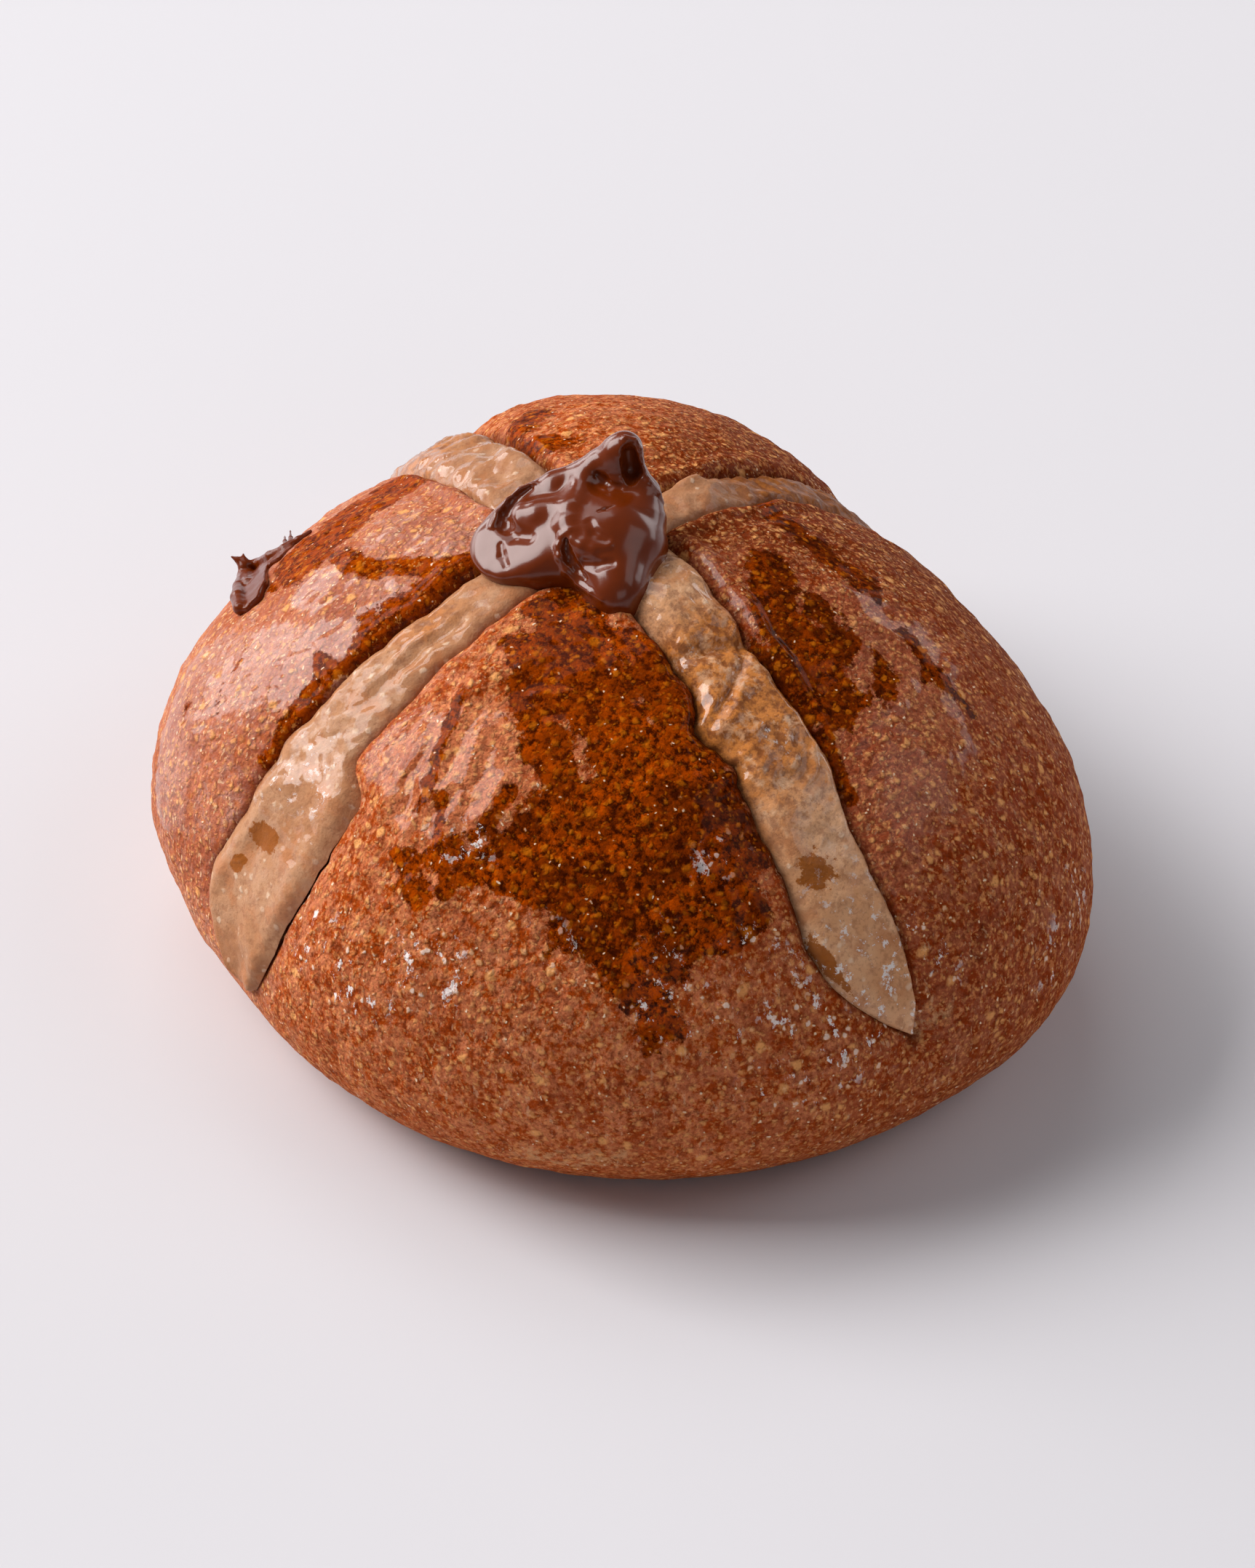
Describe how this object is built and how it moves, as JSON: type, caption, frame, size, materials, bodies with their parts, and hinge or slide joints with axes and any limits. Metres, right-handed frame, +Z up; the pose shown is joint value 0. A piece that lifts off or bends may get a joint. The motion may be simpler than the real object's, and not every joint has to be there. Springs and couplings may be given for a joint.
{
  "type": "hot cross bun",
  "caption": "Round, puffed chocolate bun with a flour-paste cross sunk between its quarters and a dollop of chocolate spread on top.",
  "frame": {"origin": "on the flat base, under the middle of the bounding box", "axes": "+Z up; the arms of the cross run outwards roughly along +X, +Y, -X and -Y, and the widest, flattest arm runs along -Y"},
  "size_m": [0.0948, 0.0856, 0.0551],
  "materials": {
    "crust": "glazed reddish-brown crust, dull in places",
    "paste": "baked flour paste, thinly glazed",
    "spread": "soft, shiny chocolate spread"
  },
  "bodies": {
    "root": {"bun": "crust", "cross": "paste", "spread": "spread", "smear": "spread"}
  },
  "joints": []
}
